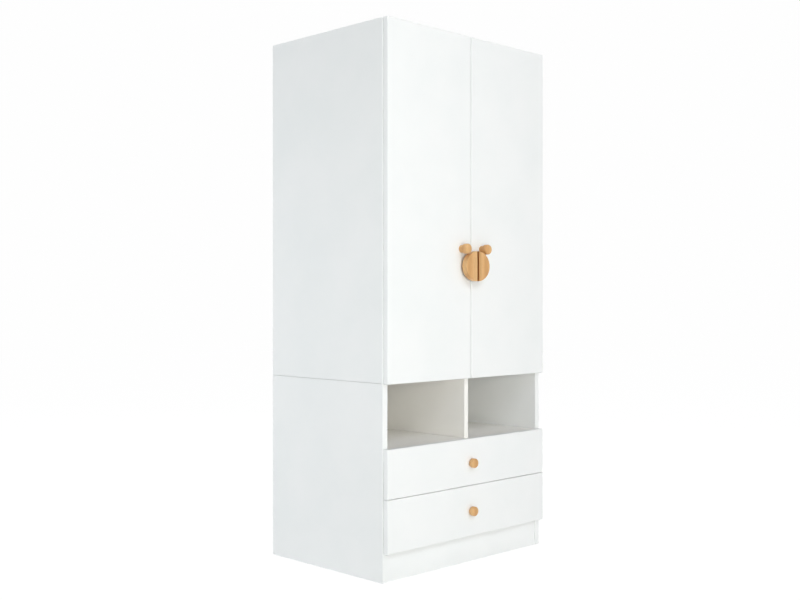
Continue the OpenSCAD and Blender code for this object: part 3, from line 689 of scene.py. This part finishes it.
def turned_shape(profile: list[tuple[float, float]], base: Vector, steps: int = 64) -> bmesh.types.BMesh:
    """Spins a profile about an axis along -Y, as a lathe does.

    Args:
        profile: Radius and height above the base, from the base's middle to the top's middle.
        base: The middle of the base.
        steps: The number of steps round.

    Returns:
        The turned shape.
    """
    shape = bmesh.new()
    verts = [shape.verts.new((radius, -height, 0.0)) for radius, height in profile]
    edges = [shape.edges.new(pair) for pair in zip(verts, verts[1:])]
    bmesh.ops.spin(shape, geom=[*verts, *edges], cent=(0, 0, 0), axis=(0, 1, 0), dvec=(0, 0, 0),
                   angle=math.tau, steps=steps, use_merge=True, use_duplicate=False)
    bmesh.ops.remove_doubles(shape, verts=shape.verts, dist=SLACK / 10)
    bmesh.ops.translate(shape, vec=base, verts=shape.verts)
    return shape


def arc(centre: tuple[float, float], radius: float, start: float, end: float, steps: int) -> list[tuple]:
    """Points on an arc.

    Args:
        centre: The arc's centre.
        radius: Its radius.
        start: Its first angle, in degrees.
        end: Its last angle, in degrees.
        steps: The number of steps.

    Returns:
        The points, from the first to the last.
    """
    angles = [math.radians(start + (end - start) * i / steps) for i in range(steps + 1)]
    return [(centre[0] + radius * math.cos(a), centre[1] + radius * math.sin(a)) for a in angles]


def knob_profile(head: float, neck: float, neck_length: float, length: float, back: float,
                 front: float, foot: float) -> list[tuple[float, float]]:
    """The half section of a turned knob.

    Args:
        head: Radius of the head.
        neck: Radius of the neck.
        neck_length: Length of the neck.
        length: Length of the whole knob.
        back: Rounding of the head's back edge.
        front: Rounding of the head's front edge.
        foot: Rounding of the neck where it stands on the board.

    Returns:
        Radius and height, from the base's middle to the top's middle.
    """
    return [(0.0, 0.0), *arc((neck - foot, foot), foot, -90, 0, steps=5), (neck, neck_length),
            *arc((head - back, neck_length + back), back, -90, 0, steps=8),
            *arc((head - front, length - front), front, 0, 90, steps=12), (0.0, length)]


@dataclass
class Carcass:
    """The sides, floors, shelf, backs and rails, with what is fixed to them."""

    shop: Workshop
    body: str = "carcass"
    edge: float = 0.8 * MM
    edge_steps: int = 2
    seam_edge: float = 0.8 * MM
    seam_edge_steps: int = 1
    seam_deep: float = 1.4 * MM
    rebate_play: float = 0.3 * MM
    rebate_reach: float = 100 * MM
    softened: dict[str, Slot] = field(default_factory=lambda: {
        "kick_board": Slot.BOARD, "cubby_divider": Slot.INNER, "hat_shelf": Slot.INNER,
        "rear_kick_rail": Slot.INNER})
    kept: dict[str, Slot] = field(default_factory=lambda: {
        "top_panel": Slot.INNER, "upper_floor": Slot.INNER, "cubby_floor": Slot.INNER,
        "lower_floor": Slot.INNER, "upper_back": Slot.INNER, "lower_back": Slot.INNER,
        "wall_rail": Slot.INNER, "shelf_pins": Slot.STEEL, "hanging_rail": Slot.CHROME,
        "rail_sockets": Slot.CHROME, "floor_glides": Slot.GLIDE, "front_buffers": Slot.BUFFER,
        "dowels": Slot.DOWEL, "cam_locks": Slot.STEEL, "cam_bolts": Slot.STEEL,
        "carcass_screws": Slot.STEEL, "hinge_plates": Slot.STEEL, "hinge_arms": Slot.STEEL,
        "runner_rails": Slot.STEEL})

    def side_board(self, level: Level, side: Side) -> None:
        """Makes one side board, rebated for its back panel, with half of the fine slot at the seam."""
        node = f"{level.value}_{side.value}_side"
        low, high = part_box(node)
        back_low, back_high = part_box(f"{level.value}_back")
        rebate = box_shape(
            Vector((back_low.x - self.rebate_play, back_low.y, low.z - self.rebate_reach)),
            Vector((back_high.x + self.rebate_play, back_high.y + MM, high.z + self.rebate_reach)))
        shape = carve(box_shape(low, high), [rebate])
        seam = low.z if level is Level.UPPER else high.z
        soften(shape, edges_at(shape.edges, Z, seam), self.seam_edge, self.seam_edge_steps)
        soften(shape, corner_edges(shape), self.edge, self.edge_steps)
        ring = [vert for vert in shape.verts if abs(vert.co.z - seam) < SLACK]
        middle = sum((vert.co for vert in ring), Vector()) / len(ring)
        for vert in ring:
            vert.co.x += math.copysign(self.seam_deep, middle.x - vert.co.x)
            vert.co.y += math.copysign(self.seam_deep, middle.y - vert.co.y)
        self.shop.finish(f"{node}_board", shape, Slot.BOARD, self.body, node)

    def build(self) -> None:
        """Makes the carcass."""
        for level in Level:
            for side in Side:
                self.side_board(level, side)
        for node, slot in self.softened.items():
            shape = box_shape(*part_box(node))
            soften(shape, corner_edges(shape), self.edge, self.edge_steps)
            self.shop.finish(f"{node}_softened", shape, slot, self.body, node)
        for node, slot in self.kept.items():
            self.shop.keep(node, slot)


@dataclass
class Front:
    """A lacquered front board: its front edges are rounded more than the rest."""

    shop: Workshop
    soft: float = 3.0 * MM
    soft_steps: int = 6
    edge: float = 0.6 * MM
    edge_steps: int = 2

    def build(self, name: str, body: str, node: str, cutters: list[bmesh.types.BMesh]) -> None:
        """Makes the board.

        Args:
            name: The piece's name.
            body: The body that it rides on.
            node: The node that it stands for.
            cutters: The shapes to cut out of it.
        """
        low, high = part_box(node)
        shape = box_shape(low, high)
        if cutters:
            shape = carve(shape, cutters)
        soften(shape, edges_at(corner_edges(shape), Y, low.y), self.soft, self.soft_steps)
        rest = [edge for edge in corner_edges(shape)
                if min(vert.co.y for vert in edge.verts) > low.y + self.soft - SLACK]
        soften(shape, rest, self.edge, self.edge_steps)
        self.shop.finish(name, shape, Slot.BOARD, body, node)


@dataclass
class Door:
    """One door with its split pull, its foot and its ear knob."""

    shop: Workshop
    side: Side
    hinge_inset: float = 110 * MM
    cup_edge: float = 3.0 * MM
    cup_radius: float = 17.5 * MM
    cup_fit: float = 0.1 * MM
    cup_depth: float = 13.1 * MM
    pull_width: float = 59.5 * MM
    pull_height: float = 51.0 * MM
    pull_sides: int = 160
    pull_front: float = 4.0 * MM
    pull_front_steps: int = 6
    pull_back: float = 2.5 * MM
    pull_back_steps: int = 4
    foot_roundness: float = 0.999
    foot_steps: int = 10
    ear_stem: float = 13.0 * MM
    ear_cap: float = 19.5 * MM
    ear_foot: float = 3.0 * MM
    ear_back: float = 2.0 * MM
    ear_front: float = 6.0 * MM

    @property
    def body(self) -> str:
        """The body that the door's pieces ride on."""
        return f"{self.side.value}_door"

    def board(self) -> None:
        """Makes the door board with a bore for each hinge cup."""
        name = self.side.value
        low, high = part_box(f"{name}_door")
        edge = low.x if self.side is Side.LEFT else high.x
        centre = edge - self.side.sign * (self.cup_edge + self.cup_radius)
        levels = (low.z + self.hinge_inset, (low.z + high.z) / 2, high.z - self.hinge_inset)
        cutters = [rod_shape(Vector((centre, high.y - self.cup_depth, z)),
                             Vector((centre, high.y + self.cup_depth, z)), self.cup_radius + self.cup_fit)
                   for z in levels]
        Front(self.shop).build(f"{name}_door_board", self.body, f"{name}_door", cutters)

    def pull(self) -> None:
        """Makes half of the oval pull, rounded all along its edges."""
        node = f"{self.side.value}_pull"
        low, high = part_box(node)
        inner = high.x if self.side is Side.LEFT else low.x
        middle = (low.z + high.z) / 2
        shape = bmesh.new()
        bmesh.ops.create_circle(shape, cap_ends=True, segments=self.pull_sides, radius=1.0)
        bmesh.ops.scale(shape, vec=(self.pull_width, self.pull_height, 1.0), verts=shape.verts)
        upright = Matrix.Rotation(math.pi / 2, 3, "X")
        bmesh.ops.rotate(shape, cent=(0, 0, 0), matrix=upright, verts=shape.verts)
        bmesh.ops.bisect_plane(shape, geom=[*shape.verts, *shape.edges, *shape.faces],
                               plane_co=(inner, 0, 0), plane_no=(-self.side.sign, 0, 0), clear_outer=True)
        ring = bmesh.ops.extrude_face_region(shape, geom=shape.faces[:])
        grown = [item for item in ring["geom"] if isinstance(item, bmesh.types.BMVert)]
        bmesh.ops.translate(shape, vec=(0, high.y - low.y, 0), verts=grown)
        bmesh.ops.translate(shape, vec=(0, low.y, middle), verts=shape.verts)
        bmesh.ops.recalc_face_normals(shape, faces=shape.faces)
        soften(shape, edges_at(shape.edges, Y, low.y), self.pull_front, self.pull_front_steps)
        soften(shape, edges_at(shape.edges, Y, high.y), self.pull_back, self.pull_back_steps)
        soften(shape, corner_edges(shape), self.pull_back, self.pull_back_steps)
        self.shop.finish(node + "_half", shape, Slot.BEECH, self.body, node, WOOD_SMOOTH_ANGLE)

    def foot(self) -> None:
        """Makes the foot, an upright block with round ends."""
        node = f"{self.side.value}_pull_foot"
        low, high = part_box(node)
        radius = (high.x - low.x) / 2
        shape = box_shape(low, high)
        corners = [edge for edge in shape.edges if abs(edge.verts[0].co.y - edge.verts[1].co.y) > SLACK]
        soften(shape, corners, radius * self.foot_roundness, self.foot_steps)
        self.shop.finish(node + "_block", shape, Slot.BEECH, self.body, node, WOOD_SMOOTH_ANGLE)

    def ear(self) -> None:
        """Turns the ear knob."""
        node = f"{self.side.value}_ear_knob"
        low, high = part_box(node)
        head, length = (high.x - low.x) / 2, high.y - low.y
        profile = knob_profile(head, self.ear_stem, length - self.ear_cap, length, self.ear_back,
                               self.ear_front, self.ear_foot)
        base = Vector(((low.x + high.x) / 2, high.y, (low.z + high.z) / 2))
        self.shop.finish(node + "_turned", turned_shape(profile, base), Slot.BEECH, self.body, node,
                         WOOD_SMOOTH_ANGLE)

    def build(self) -> None:
        """Makes the door and dresses its hinge halves and screws."""
        self.board()
        self.pull()
        self.foot()
        self.ear()
        for part in ("hinge_cups", "hinge_pins", "door_screws"):
            self.shop.keep(f"{self.side.value}_{part}", Slot.STEEL)


@dataclass
class Drawer:
    """One drawer: its front and knob, its box and its runner members."""

    shop: Workshop
    level: Level
    knob_neck: float = 9.0 * MM
    knob_neck_length: float = 5.0 * MM
    knob_back: float = 1.5 * MM
    knob_front: float = 5.0 * MM
    knob_foot: float = 1.0 * MM

    @property
    def body(self) -> str:
        """The body that the drawer's pieces ride on."""
        return f"{self.level.value}_drawer"

    def knob(self) -> None:
        """Turns the knob."""
        node = f"{self.level.value}_drawer_knob"
        low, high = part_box(node)
        head, length = (high.x - low.x) / 2, high.y - low.y
        profile = knob_profile(head, self.knob_neck, self.knob_neck_length, length, self.knob_back,
                               self.knob_front, self.knob_foot)
        base = Vector(((low.x + high.x) / 2, high.y, (low.z + high.z) / 2))
        self.shop.finish(node + "_turned", turned_shape(profile, base), Slot.BEECH, self.body, node,
                         WOOD_SMOOTH_ANGLE)

    def build(self) -> None:
        """Makes the drawer and dresses its box and runners."""
        name = self.level.value
        Front(self.shop).build(f"{name}_drawer_front_board", self.body, f"{name}_drawer_front", [])
        self.knob()
        for part in ("left", "right", "back", "base"):
            self.shop.keep(f"{name}_drawer_{part}", Slot.BOX)
        self.shop.keep(f"{name}_drawer_fixings", Slot.STEEL)
        self.shop.keep(f"{name}_drawer_rails", Slot.STEEL)
        self.shop.keep(f"{name}_runner_middles", Slot.STEEL)


@dataclass(frozen=True)
class Lamp:
    """One square soft lamp: where it hangs, what it faces, its size, power and colour."""

    name: str
    place: tuple[float, float, float]
    aim: tuple[float, float, float]
    size: float
    power: float
    colour: tuple[float, float, float]


@dataclass
class Studio:
    """The camera, the pale floor and the soft light."""

    camera_place: tuple[float, float, float] = (-2.7801, -2.7277, 0.9116)
    camera_tilt: float = 90 - 0.155
    camera_turn: float = -44.788
    lens: float = 48.74
    sensor: float = 36.0
    view_reach: float = 60.0
    floor_size: float = 24.0
    floor_shade: float = 0.86
    floor_white: float = 1.06
    floor_white_share: float = 0.93
    sky: float = 0.09
    sky_colour: tuple[float, float, float] = (0.955, 0.96, 1.0)
    sky_white: float = 0.992
    lamps: tuple[Lamp, ...] = (
        Lamp("window", (-2.2, -4.4, 0.9), (0.0, -0.25, 0.6), 1.8, 106, (1.0, 0.995, 0.935)),
        Lamp("high", (-2.5, -7.0, 6.5), (0.0, -0.25, 0.8), 4.0, 247, (0.88, 0.92, 1.0)),
        Lamp("across", (2.6, -6.4, 6.0), (0.0, -0.25, 0.8), 3.0, 58, (1.0, 0.99, 0.99)),
        Lamp("behind", (-3.4, 1.8, 1.0), (-0.4, 0.1, 0.8), 2.0, 51, (0.935, 0.975, 1.0)),
        Lamp("beside", (3.6, 1.6, 1.4), (0.4, 0.1, 0.9), 2.0, 80, (0.985, 0.98, 0.99)),
        Lamp("above", (0.0, 0.3, 5.2), (0.0, 0.1, 1.8), 2.0, 35, (0.95, 0.97, 1.0)))

    def camera(self) -> None:
        """Puts the camera at the photograph's viewing angle."""
        data = bpy.data.cameras.new("view")
        data.lens, data.sensor_width, data.clip_end = self.lens, self.sensor, self.view_reach
        camera = bpy.data.objects.new("view", data)
        camera.location = self.camera_place
        camera.rotation_euler = (math.radians(self.camera_tilt), 0, math.radians(self.camera_turn))
        bpy.context.scene.collection.objects.link(camera)
        bpy.context.scene.camera = camera

    def white_where_seen(self, tree: bpy.types.NodeTree, lit: bpy.types.Node, share: float,
                         strength: float) -> bpy.types.Node:
        """Mixes plain white over a shader where the camera, gloss or glass looks at it.

        Args:
            tree: The node tree.
            lit: The shader that lights and is lit.
            share: The share of white.
            strength: The strength of the white.

        Returns:
            The mixed shader.
        """
        path = tree.nodes.new("ShaderNodeLightPath")
        seen = tree.nodes.new("ShaderNodeMath")
        seen.operation = "MAXIMUM"
        tree.links.new(path.outputs["Is Camera Ray"], seen.inputs[0])
        both = tree.nodes.new("ShaderNodeMath")
        both.operation = "MAXIMUM"
        tree.links.new(path.outputs["Is Glossy Ray"], both.inputs[0])
        tree.links.new(path.outputs["Is Transmission Ray"], both.inputs[1])
        tree.links.new(both.outputs[0], seen.inputs[1])
        part = tree.nodes.new("ShaderNodeMath")
        part.operation = "MULTIPLY"
        part.inputs[1].default_value = share
        tree.links.new(seen.outputs[0], part.inputs[0])
        background = "ShaderNodeBackground"
        white = tree.nodes.new(background if lit.bl_idname == background else "ShaderNodeEmission")
        white.inputs["Strength"].default_value = strength
        white.inputs["Color"].default_value = (1, 1, 1, 1)
        mix = tree.nodes.new("ShaderNodeMixShader")
        tree.links.new(part.outputs[0], mix.inputs[0])
        tree.links.new(lit.outputs[0], mix.inputs[1])
        tree.links.new(white.outputs[0], mix.inputs[2])
        return mix

    def world(self) -> None:
        """Lights the object evenly from all round, with a white background where it is seen."""
        world = bpy.data.worlds.new("studio")
        world.use_nodes = True
        tree = world.node_tree
        tree.nodes.clear()
        sky = tree.nodes.new("ShaderNodeBackground")
        sky.inputs["Color"].default_value = (*self.sky_colour, 1)
        sky.inputs["Strength"].default_value = self.sky
        output = tree.nodes.new("ShaderNodeOutputWorld")
        seen = self.white_where_seen(tree, sky, 1.0, self.sky_white)
        tree.links.new(seen.outputs[0], output.inputs["Surface"])
        bpy.context.scene.world = world

    def floor(self) -> None:
        """Makes the pale floor, which keeps a faint shadow."""
        shape = bmesh.new()
        bmesh.ops.create_grid(shape, x_segments=1, y_segments=1, size=self.floor_size / 2)
        mesh = bpy.data.meshes.new("floor")
        shape.to_mesh(mesh)
        shape.free()
        floor = bpy.data.objects.new("floor", mesh)
        bpy.context.scene.collection.objects.link(floor)
        material = bpy.data.materials.new("pale_floor")
        material.use_nodes = True
        tree = material.node_tree
        tree.nodes.clear()
        lit = tree.nodes.new("ShaderNodeBsdfDiffuse")
        lit.inputs["Color"].default_value = (*[self.floor_shade] * 3, 1)
        output = tree.nodes.new("ShaderNodeOutputMaterial")
        seen = self.white_where_seen(tree, lit, self.floor_white_share, self.floor_white)
        tree.links.new(seen.outputs[0], output.inputs["Surface"])
        mesh.materials.append(material)

    def hang(self, lamp: Lamp) -> None:
        """Hangs one square soft lamp, facing its aim."""
        data = bpy.data.lights.new(lamp.name, "AREA")
        data.shape, data.size, data.energy, data.color = "SQUARE", lamp.size, lamp.power, lamp.colour
        piece = bpy.data.objects.new(lamp.name, data)
        piece.location = lamp.place
        piece.rotation_euler = (Vector(lamp.aim) - Vector(lamp.place)).to_track_quat("-Z", "Y").to_euler()
        piece.visible_camera = False
        piece.visible_glossy = False
        bpy.context.scene.collection.objects.link(piece)

    def build(self) -> None:
        """Sets the studio up."""
        self.camera()
        self.world()
        self.floor()
        for lamp in self.lamps:
            self.hang(lamp)


def main() -> None:
    """Builds the wardrobe and the studio."""
    logging.basicConfig(level=logging.INFO, format="%(name)s: %(message)s")
    bpy.context.scene.view_settings.view_transform = "Standard"
    Studio().build()
    shop = Workshop(Palette())
    Carcass(shop).build()
    for side in Side:
        Door(shop, side).build()
    for level in Level:
        Drawer(shop, level).build()
    log.info("%d pieces made", shop.made)


if __name__ == "__main__":
    main()
